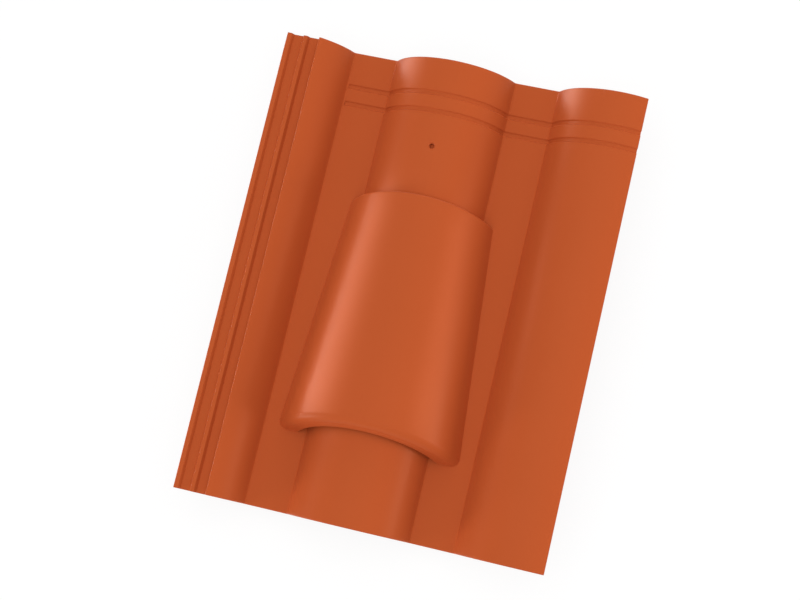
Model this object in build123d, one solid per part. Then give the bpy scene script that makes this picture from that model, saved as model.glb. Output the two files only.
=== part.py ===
from build123d import *
from math import atan, cos, radians, sin, sqrt, tan
import os

# A ventilating roof tile, cast in one piece: a double-roll interlocking tile with a hood over its middle roll.
# +X runs across the roof to the right, +Y up the slope to the head, +Z out of the weather side.
# The origin is below the middle of the tile, at the level of the nibs' feet. All sizes are in millimetres.

# The tile's plan and its rolls
tile_length = 420.0
roll_pitch = 150.0
roll_radius = 60.6
roll_rise = 35.6
crease_radius = 2.0
wall = 12.0
end_round = 1.3

# The side laps: the underlap on the left carries two ribs, and the overlap on the right is shaped to seat on them
lap_width = 30.0
edge_past_crown = 25.5
lap_depth = 14.2
lap_rib_rise = 3.4
lap_edge_rib = 4.2
lap_rib = 3.2
lap_rib_side = 1.8
lap_step_run = 2.4
lap_thickness = 10.4
lap_gap = 1.2
lap_side_gap = 1.0
lap_round = 0.8

# The head: two cross grooves, a pilot hole for the fixing screw, and a strip that bends down a little
groove_from_head = 32.2
groove_spacing = 16.0
groove_width = 4.9
groove_floor = 2.9
groove_depth = 1.2
head_strip = 28.0
head_bend = 3.2
hole_from_head = 80.0
hole_diameter = 4.5
hole_depth = 4.0
hole_flare = 1.0

# The underside: nibs that hook over the batten, and weather bars under the nose
nib_width = 32.0
nib_length = 18.0
nib_foot = 11.0
nib_drop = 16.0
nib_from_head = 28.0
bar_width = 6.0
bar_drop = 4.0
bar_from_nose = 11.0
bar_spacing = 20.0

# The hood: a tapering arch that stands higher and wider at its mouth
hood_from_nose = 72.0
hood_length = 213.0
hood_mouth_step = 18.6
hood_mouth_reach = 27.3
hood_end_reach = 9.8
hood_mouth_lean = 15.0
hood_end_lean = 12.7
hood_wall = 12.5
hood_foot = 19.0
hood_root = 4.0
lip_radius = 8.0
hood_end_round = 1.5

# The slot through the roll under the hood, which lets the air out
slot_width = 60.0
slot_length = 110.0
slot_from_mouth = 34.0
slot_corner = 12.0

tile_width = 2 * roll_pitch + lap_width
pan_top = nib_drop + wall
left_edge = -tile_width / 2
right_edge = tile_width / 2
nose = -tile_length / 2
head = tile_length / 2
right_crown = right_edge - edge_past_crown
mid_crown = right_crown - roll_pitch
left_crown = mid_crown - roll_pitch
roll_axis = pan_top + roll_rise - roll_radius
lap_floor = pan_top + roll_rise - lap_depth
overreach = 20.0


def height(radius, offset):
    """Level of a roll's surface of this radius, at this offset from its crown."""
    return roll_axis + sqrt(radius**2 - offset**2)


def half_chord(radius, level):
    """Half the width of a roll's surface of this radius, at this level."""
    return sqrt(radius**2 - (level - roll_axis) ** 2)


def arc(crown, radius, start, end):
    """Part of a roll's surface, between two offsets from its crown."""
    middle = (start + end) / 2
    return ThreePointArc(*[(crown + t, height(radius, t)) for t in (start, middle, end)])


def lap_outline(shift, lift):
    """The ribs and grooves of the side lap, from the tile's edge inwards."""
    groove = (lap_width + lap_side_gap - lap_step_run - lap_edge_rib - lap_rib - 3 * lap_rib_side) / 2
    runs = [lap_edge_rib, lap_rib_side, groove, lap_rib_side, lap_rib, lap_rib_side, groove]
    levels = [1, 1, 0, 0, 1, 1, 0, 0]
    x = left_edge + shift
    points = [(x, lap_floor + lift + levels[0] * lap_rib_rise)]
    for run, level in zip(runs, levels[1:]):
        x += run
        points.append((x, lap_floor + lift + level * lap_rib_rise))
    return points


def weather_line():
    """The upper line of the section, from the underlap's step to the right edge, with rounded creases."""
    foot = half_chord(roll_radius, pan_top)
    step = left_edge + lap_width + lap_side_gap - left_crown
    line = Wire(
        [
            arc(left_crown, roll_radius, step, foot),
            Line((left_crown + foot, pan_top), (mid_crown - foot, pan_top)),
            arc(mid_crown, roll_radius, -foot, foot),
            Line((mid_crown + foot, pan_top), (right_crown - foot, pan_top)),
            arc(right_crown, roll_radius, -foot, edge_past_crown),
        ]
    )
    creases = [v for v in line.vertices() if abs(v.Y - pan_top) < 1e-6]
    return line.fillet_2d(crease_radius, creases)


def section():
    """The tile's cross section: one wall that follows the rolls, thinned at the two side laps."""
    hollow = roll_radius - wall
    pan_base = pan_top - wall
    foot = half_chord(hollow, pan_base)
    lap_base = lap_floor - lap_thickness
    left_turn = half_chord(hollow, lap_base)
    underlap = lap_outline(0, 0)
    overlap = lap_outline(2 * roll_pitch, lap_gap)
    top = weather_line()
    first, last = top @ 0, top @ 1
    lip_base = overlap[-1][1]
    lip_run = lap_step_run * (last.Y - lip_base) / (first.Y - underlap[-1][1])
    seat = overlap[0][0] - lap_side_gap
    right_turn = seat - right_crown
    lap_side = [(last.X, last.Y), (last.X - lip_run, lip_base)] + overlap[-2::-1]
    lap_side += [(seat, overlap[0][1]), (seat, height(hollow, right_turn))]
    outline = top.edges()
    outline += Polyline(*lap_side).edges()
    outline += [
        arc(right_crown, hollow, right_turn, -foot),
        Line((right_crown - foot, pan_base), (mid_crown + foot, pan_base)),
        arc(mid_crown, hollow, foot, -foot),
        Line((mid_crown - foot, pan_base), (left_crown + foot, pan_base)),
        arc(left_crown, hollow, foot, left_turn),
    ]
    tongue = [(left_crown + left_turn, lap_base), (left_edge, lap_base)] + underlap + [(first.X, first.Y)]
    outline += Polyline(*tongue).edges()
    face = make_face(outline)
    turns = [v for v in face.vertices() if is_rib_top(v)]
    return fillet(turns, lap_round)


def is_rib_top(vertex):
    """True for the upper corners of the underlap's ribs."""
    return vertex.X < left_edge + lap_width and abs(vertex.Y - lap_floor - lap_rib_rise) < 1e-6


def across(y):
    """The plane of a cross section at this place along the tile, seen from the nose."""
    return Plane(origin=(0, y, 0), x_dir=(1, 0, 0), z_dir=(0, -1, 0))


def slab(x0, x1, y0, y1, z0, z1):
    """A block between two corners."""
    size = Box(x1 - x0, y1 - y0, z1 - z0, align=(Align.MIN, Align.MIN, Align.MIN))
    return Pos(x0, y0, z0) * size


def body():
    """The rolled tile: a straight run, then the head strip on a wide bend, with rounded ends."""
    face = section()
    bend_start = head - head_strip
    run = extrude(across(bend_start) * face, bend_start - nose)
    bend_radius = head_strip / radians(head_bend)
    bend_axis = Axis((0, bend_start, pan_top - bend_radius), (-1, 0, 0))
    strip = revolve(across(bend_start) * face, bend_axis, 2 * head_bend)
    strip &= slab(2 * left_edge, 2 * right_edge, bend_start, head, -tile_width, tile_width)
    tile = run + strip
    ends = [e for e in tile.edges() if is_end_edge(e)]
    tile = fillet(ends, end_round)
    step = [e for e in tile.edges() if is_step_edge(e)]
    return fillet(step, lap_round)


def is_step_edge(edge):
    """True for the straight part of the long edge on top of the underlap's step."""
    corner = weather_line() @ 0
    middle = edge @ 0.5
    near = abs(middle.X - corner.X) + abs(middle.Z - corner.Y) < 1e-4
    return near and edge.length > head_strip


def is_end_edge(edge):
    """True for the upper edges of the nose and of the head, right of the underlap."""
    low, high = edge.bounding_box().min, edge.bounding_box().max
    flat = high.Y - low.Y < 1e-4
    at_end = min(abs(low.Y - nose), abs(low.Y - head)) < 1e-4
    middle = edge @ 0.5
    inside = low.X > left_edge + lap_width
    upper = middle.Z > pan_top - wall / 2 and middle.Z > surface(middle.X) - wall / 3
    return flat and at_end and inside and upper and high.X - low.X > crease_radius / 2


def surface(x):
    """Level of the weather side at this place across the tile."""
    offset = min(abs(x - crown) for crown in (left_crown, mid_crown, right_crown))
    return max(pan_top, height(roll_radius, offset)) if offset < roll_radius else pan_top


def cross_groove(y):
    """A cutter for one cross groove, from the left pan over the rolls and out at the right edge."""
    line = weather_line()
    pieces = line.edges().sort_by(Axis.X)[2:]
    start = (pieces[0] @ 0).X
    end, way = line @ 1, line % 1
    pieces.append(Line(end, end + way * overreach))
    path = across(y) * Wire(pieces)
    top, low = groove_width / 2, groove_floor / 2
    above = 2 * top - low
    outline = [(-above, groove_depth), (-low, -groove_depth), (low, -groove_depth), (above, groove_depth)]
    plane = Plane(origin=(start, y, pan_top), x_dir=(0, 1, 0), z_dir=(1, 0, 0))
    return sweep(plane * make_face(Polyline(*outline, close=True)), path)


def pilot_hole():
    """A cutter for the pilot hole in the middle roll's crown: a short round wall with a flared mouth."""
    radius = hole_diameter / 2
    mouth = Pos(mid_crown, head - hole_from_head, pan_top + roll_rise)
    flare = Cone(radius, radius + 2 * hole_flare, 2 * hole_flare)
    return mouth * Cylinder(radius, 2 * hole_depth) + mouth * flare


def arch_cone(mouth_reach, end_reach, rise):
    """A cone over the middle roll: its sides meet the pans on straight lines, and it has this rise at the mouth."""
    run = hood_length * mouth_reach / (mouth_reach - end_reach)
    crown_slope = atan(rise / run)
    side_slope = atan(mouth_reach / run)
    tilt = atan((cos(crown_slope) - cos(side_slope)) / sin(crown_slope))
    half_angle = crown_slope + tilt
    apex = (mid_crown, nose + hood_from_nose + run, pan_top)
    length = run + overreach
    cone = Cone(0, length * tan(half_angle), length, align=(Align.CENTER, Align.CENTER, Align.MIN))
    return Plane(origin=apex, x_dir=(1, 0, 0), z_dir=(0, -cos(tilt), -sin(tilt))) * cone


def hood_block():
    """A block with the hood's leaning ends, rooted in the pans."""
    low, high = -hood_root, roll_rise + hood_mouth_step + overreach
    mouth_y = nose + hood_from_nose
    end_y = mouth_y + hood_length
    mouth_run, end_run = tan(radians(hood_mouth_lean)), tan(radians(hood_end_lean))
    outline = [(mouth_y + low * mouth_run, low), (end_y + low * end_run, low)]
    outline += [(end_y + high * end_run, high), (mouth_y + high * mouth_run, high)]
    plane = Plane(origin=(left_edge, 0, pan_top), x_dir=(0, 1, 0), z_dir=(1, 0, 0))
    return extrude(plane * make_face(Polyline(*outline, close=True)), tile_width)


def hood():
    """The hood's shell, with a full round on its lip, open at the mouth and closed on the roll at its upper end."""
    foot = half_chord(roll_radius, pan_top)
    mouth_reach, end_reach = foot + hood_mouth_reach, foot + hood_end_reach
    rise = roll_rise + hood_mouth_step
    outer = arch_cone(mouth_reach, end_reach, rise) & hood_block()
    outer = fillet(rims(outer)[0], lip_radius)
    outer = fillet(rims(outer)[-1], hood_end_round)
    return outer - arch_cone(mouth_reach - hood_foot, end_reach - hood_foot, rise - hood_wall)


def rims(solid):
    """The round edges of the hood's ends, from the mouth to the upper end."""
    return solid.edges().filter_by(GeomType.ELLIPSE).sort_by(Axis.Y)


def slot():
    """A cutter for the slot through the middle roll."""
    start = nose + hood_from_nose + slot_from_mouth
    outline = Pos(mid_crown, start + slot_length / 2) * RectangleRounded(slot_width, slot_length, slot_corner)
    return extrude(outline, pan_top + roll_rise + overreach)


def nib(x):
    """One nib: its nose side is upright and bears on the batten, its head side slopes."""
    face_y = head - nib_from_head
    base = pan_top - wall / 2
    outline = [(face_y, base), (face_y, 0), (face_y + nib_foot, 0), (face_y + nib_length, base)]
    plane = Plane(origin=(x - nib_width / 2, 0, 0), x_dir=(0, 1, 0), z_dir=(1, 0, 0))
    return extrude(plane * make_face(Polyline(*outline, close=True)), nib_width)


def weather_bar(x0, x1, y):
    """One bar across the underside of a pan."""
    base = pan_top - wall
    return slab(x0, x1, y, y + bar_width, base - bar_drop, base + wall / 2)


def vent_tile():
    """The whole tile."""
    tile = body()
    for k in range(2):
        tile -= cross_groove(head - groove_from_head - k * groove_spacing)
    tile -= slot()
    tile -= pilot_hole()
    tile += hood()
    foot = half_chord(roll_radius - wall, pan_top - wall)
    for crown in (left_crown, mid_crown):
        tile += nib(crown + roll_pitch / 2)
        for k in range(2):
            bar_y = nose + bar_from_nose + k * bar_spacing
            tile += weather_bar(crown + foot, crown + roll_pitch - foot, bar_y)
    return tile


os.makedirs("parts", exist_ok=True)
export_step(vent_tile(), "parts/vent_tile.step")
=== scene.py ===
import math

import bpy
from mathutils import Matrix, Vector

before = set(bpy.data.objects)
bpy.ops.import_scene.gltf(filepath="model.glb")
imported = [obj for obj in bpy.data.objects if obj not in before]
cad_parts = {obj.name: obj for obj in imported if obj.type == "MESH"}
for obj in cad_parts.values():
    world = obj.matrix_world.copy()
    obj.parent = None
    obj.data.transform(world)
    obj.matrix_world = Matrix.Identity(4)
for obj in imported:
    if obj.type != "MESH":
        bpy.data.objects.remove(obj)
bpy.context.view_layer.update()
scene = bpy.context.scene
scene.view_settings.view_transform = "Standard"


# The tile: one casting of pressed concrete, with its hood, ribs and nibs in the same piece.
# It leaves the mould with a smooth face and is sprayed all over with a pigmented acrylic coat.
# It hangs on a batten by its nibs and locks into its neighbours at the side laps.
def from_hex(code):
    """A colour in linear light from its sRGB hex code."""
    channels = [int(code[k : k + 2], 16) / 255 for k in (1, 3, 5)]
    linear = [c / 12.92 if c <= 0.04045 else ((c + 0.055) / 1.055) ** 2.4 for c in channels]
    return (*linear, 1.0)


def add(tree, kind, settings=None, values=None, links=None):
    """Adds a node to a tree, with its settings, its sockets' values and the sockets that feed it."""
    node = tree.nodes.new(kind)
    for name, value in (settings or {}).items():
        setattr(node, name, value)
    for name, value in (values or {}).items():
        node.inputs[name].default_value = value
    for name, source in (links or {}).items():
        tree.links.new(source, node.inputs[name])
    return node


def new_material(name):
    """An empty node material with its output node."""
    material = bpy.data.materials.new(name)
    material.use_nodes = True
    tree = material.node_tree
    tree.nodes.clear()
    return material, tree, tree.nodes.new("ShaderNodeOutputMaterial")


# Acrylic-coated concrete: an even terracotta red with the faintest clouding of the spray,
# a satin film that gives broad soft highlights, and fine sand grain just under it.
# A faint dry bloom on the film lifts the surfaces that are seen at a slant.
# The finer grains of the sand are too small to show, so only coarse ones are drawn.
mm = 0.001
cloud_breadth = 60 * mm
sand_grain = 1.2 * mm
sand_relief = 0.2 * mm
coat, tree, output = new_material("acrylic_coated_concrete")
place = add(tree, "ShaderNodeTexCoord")
cloud = add(
    tree,
    "ShaderNodeTexNoise",
    values={"Scale": 1 / cloud_breadth, "Detail": 4.0, "Roughness": 0.55},
    links={"Vector": place.outputs["Object"]},
)
colour = add(
    tree,
    "ShaderNodeMix",
    {"data_type": "RGBA"},
    {"A": from_hex("#AA4C25"), "B": from_hex("#AE4E27")},
    {"Factor": cloud.outputs["Fac"]},
)
sand = add(
    tree,
    "ShaderNodeTexNoise",
    values={"Scale": 1 / sand_grain, "Detail": 3.0, "Roughness": 0.6},
    links={"Vector": place.outputs["Object"]},
)
grain = add(
    tree,
    "ShaderNodeBump",
    values={"Strength": 0.05, "Distance": sand_relief},
    links={"Height": sand.outputs["Fac"]},
)
film = add(
    tree,
    "ShaderNodeBsdfPrincipled",
    values={
        "Roughness": 0.36,
        "IOR": 1.5,
        "Specular IOR Level": 0.14,
        "Specular Tint": from_hex("#FFBF95"),
        "Sheen Weight": 0.32,
        "Sheen Roughness": 0.5,
        "Sheen Tint": from_hex("#FF8248"),
    },
    links={"Base Color": colour.outputs["Result"], "Normal": grain.outputs["Normal"]},
)
tree.links.new(film.outputs["BSDF"], output.inputs["Surface"])

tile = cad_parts["vent_tile"]
tile.data.materials.clear()
tile.data.materials.append(coat)


# The floor: a plain white sheet under the tile, at the level of its nibs' feet.
# Most of its white is its own to the camera, and the rest takes the tile's shadow.
def background_rays(tree):
    """The socket that is 1 for rays from the camera, gloss or glass, which meet a white background."""
    ray = add(tree, "ShaderNodeLightPath")
    seen = ray.outputs["Is Camera Ray"]
    for kind in ("Is Glossy Ray", "Is Transmission Ray"):
        either = add(tree, "ShaderNodeMath", {"operation": "MAXIMUM"}, links={0: seen, 1: ray.outputs[kind]})
        seen = either.outputs["Value"]
    return seen


half = 3.0
corners = [(-half, -half, 0), (half, -half, 0), (half, half, 0), (-half, half, 0)]
mesh = bpy.data.meshes.new("floor")
mesh.from_pydata(corners, [], [(0, 1, 2, 3)])
floor = bpy.data.objects.new("floor", mesh)
scene.collection.objects.link(floor)

# White sheet: matt paper that looks clean and keeps a pale shadow.
own_share = 0.88
sheet, tree, output = new_material("white_sheet")
seen = background_rays(tree)
own_white = add(tree, "ShaderNodeMath", {"operation": "MULTIPLY"}, {1: own_share}, {0: seen})
paper = add(tree, "ShaderNodeBsdfDiffuse", values={"Color": from_hex("#F6F6F6")})
white = add(tree, "ShaderNodeEmission", values={"Strength": 1.0})
mixed = add(
    tree,
    "ShaderNodeMixShader",
    links={0: own_white.outputs["Value"], 1: paper.outputs["BSDF"], 2: white.outputs["Emission"]},
)
tree.links.new(mixed.outputs["Shader"], output.inputs["Surface"])
floor.data.materials.append(sheet)


# The light: a soft white surround, and soft panels round the tile as in a studio.
# The broad panels light the tile's body. The narrow strips beside the lap, the hood and the head
# are seen in reflections only, where they draw the highlights.
surround_light = 0.6
surround_seen = 1.0
world = bpy.data.worlds.new("surround")
world.use_nodes = True
scene.world = world
tree = world.node_tree
surround = tree.nodes["Background"]
surround.inputs["Color"].default_value = (1, 1, 1, 1)
seen = background_rays(tree)
strength = add(
    tree,
    "ShaderNodeMix",
    {"data_type": "FLOAT"},
    {"A": surround_light, "B": surround_seen},
    {"Factor": seen},
)
tree.links.new(strength.outputs["Result"], surround.inputs["Strength"])
middle = Vector((0, 0, 0.05))


def panel(name, azimuth, elevation, distance, size, energy):
    """A square panel that faces the tile. Azimuth runs from the head edge, clockwise from above."""
    turn = math.radians(azimuth)
    lift = math.radians(elevation)
    way = Vector((math.cos(lift) * math.sin(turn), math.cos(lift) * math.cos(turn), math.sin(lift)))
    lamp = bpy.data.lights.new(name, "AREA")
    lamp.size = size
    lamp.energy = energy
    holder = bpy.data.objects.new(name, lamp)
    holder.location = middle + distance * way
    holder.rotation_euler = way.to_track_quat("Z", "Y").to_euler()
    holder.visible_camera = False
    scene.collection.objects.link(holder)
    return holder


# Azimuth and elevation are in degrees, distance and size in metres, and energy in watts.
overhead = panel("overhead_panel", 0, 90, 1.8, 2.0, 20.0)
overhead.visible_glossy = False
panel("right_panel", 92, 11, 1.4, 0.42, 6.3)
panel("left_panel", 238, 6, 1.4, 0.34, 4.9)
panel("head_panel", 0, 14, 1.4, 0.9, 5.0)
panel("front_panel", 180, 10, 1.4, 0.8, 2.6)

strip_spread = math.radians(70)
left_side = -1
right_side = 1


def strip(name, target, distance, elevation, breadth, y_span, side, radiance):
    """A strip along the tile that faces a target point in its section, seen in reflections only."""
    lift = math.radians(elevation)
    way = Vector((side * math.cos(lift), 0, math.sin(lift)))
    lamp = bpy.data.lights.new(name, "AREA")
    lamp.shape = "RECTANGLE"
    lamp.size = breadth
    lamp.size_y = y_span[1] - y_span[0]
    lamp.energy = radiance * lamp.size * lamp.size_y
    lamp.spread = strip_spread
    holder = bpy.data.objects.new(name, lamp)
    centre = Vector((target[0], sum(y_span) / 2, target[1])) + distance * way
    facing = Matrix([(way.z, 0, way.x), (0, 1, 0), (-way.x, 0, way.z)]).to_4x4()
    holder.matrix_world = Matrix.Translation(centre) @ facing
    holder.visible_camera = False
    holder.visible_diffuse = False
    scene.collection.objects.link(holder)


# One strip low beside the underlap draws the light line on its step.
lap_step = (-0.150, 0.046)
lap_span = (-0.21, 0.22)
strip("lap_strip", lap_step, 0.06, 5, 0.02, lap_span, left_side, 9.0)

# Rows of strips stand round each flank of the hood, 12 degrees apart, and are strongest low down.
flank_distance = 0.085
row_breadth = 0.0175
row_step = 12
left_flank = (-0.048, 0.066)
left_span = (-0.116, 0.104)
left_lowest = -2
left_radiance = 5.0
for row, share in enumerate((1.0, 1.0, 0.95, 0.65, 0.36, 0.14)):
    name = f"hood_left_strip_{row}"
    lift = row_step * row + left_lowest
    radiance = left_radiance * share
    strip(name, left_flank, flank_distance, lift, row_breadth, left_span, left_side, radiance)
right_flank = (0.027, 0.066)
right_span = (-0.112, 0.096)
right_lowest = 10
right_radiance = 2.8
for row, share in enumerate((0.45, 1.0, 0.8, 0.45)):
    name = f"hood_right_strip_{row}"
    lift = row_step * row + right_lowest
    radiance = right_radiance * share
    strip(name, right_flank, flank_distance, lift, row_breadth, right_span, right_side, radiance)

# Upright squares just past the head edge, at two levels and two places, light the rolls' bent ends.
head_distance = 0.105
head_breadth = 0.055
head_span = (0.215, 0.270)
for row, (height, radiance) in enumerate(((0.030, 7.4), (0.085, 7.0))):
    for column, x in enumerate((-0.050, 0.100)):
        name = f"head_strip_{row}_{column}"
        strip(name, (x, height), head_distance, 0, head_breadth, head_span, left_side, radiance)


# The camera: a 75 mm lens high above the tile and a little to its right.
# It is turned about its own line of sight, so that the tile leans in the frame.
lens = bpy.data.cameras.new("camera")
lens.lens = 75.19
lens.sensor_width = 36.0
camera = bpy.data.objects.new("camera", lens)
scene.collection.objects.link(camera)
scene.camera = camera
eye = (0.231762, -0.200156, 1.474957)
right = (0.96455236, 0.22867878, -0.1316995)
down = (0.20608879, -0.96446991, -0.16530339)
forward = (-0.16482158, 0.13230198, -0.97740986)
turn = Matrix([(right[k], -down[k], -forward[k]) for k in range(3)]).to_4x4()
camera.matrix_world = Matrix.Translation(eye) @ turn
